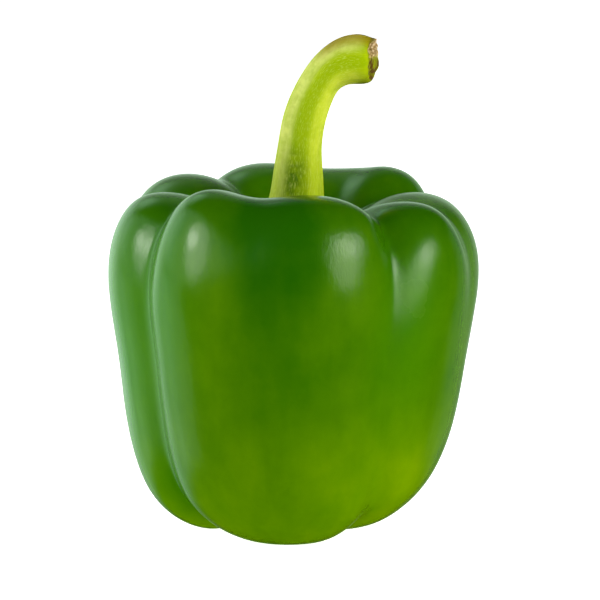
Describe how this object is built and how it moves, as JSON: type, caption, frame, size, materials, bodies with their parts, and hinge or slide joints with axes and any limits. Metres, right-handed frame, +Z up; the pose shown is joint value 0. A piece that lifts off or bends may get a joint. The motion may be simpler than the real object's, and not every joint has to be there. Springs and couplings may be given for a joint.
{
  "type": "bell pepper",
  "caption": "Blocky green bell pepper standing on its lobes, with rounded furrowed shoulders, a star-shaped calyx in the top hollow and a ribbed stem bent to one side.",
  "frame": {"origin": "middle of the outline seen from above, at the level of the feet", "axes": "+Z up, -Y towards the broad front lobe, +X the way the stem bends"},
  "size_m": [0.0896, 0.0918, 0.1211],
  "materials": {
    "skin": "waxy green skin with soft highlights, darker at the shoulders and yellower towards the feet",
    "stem": "yellow-green ribbed stem, satin, with a dry pale cut end"
  },
  "bodies": {
    "root": {"fruit": "skin", "stem_and_calyx": "stem"}
  },
  "joints": []
}
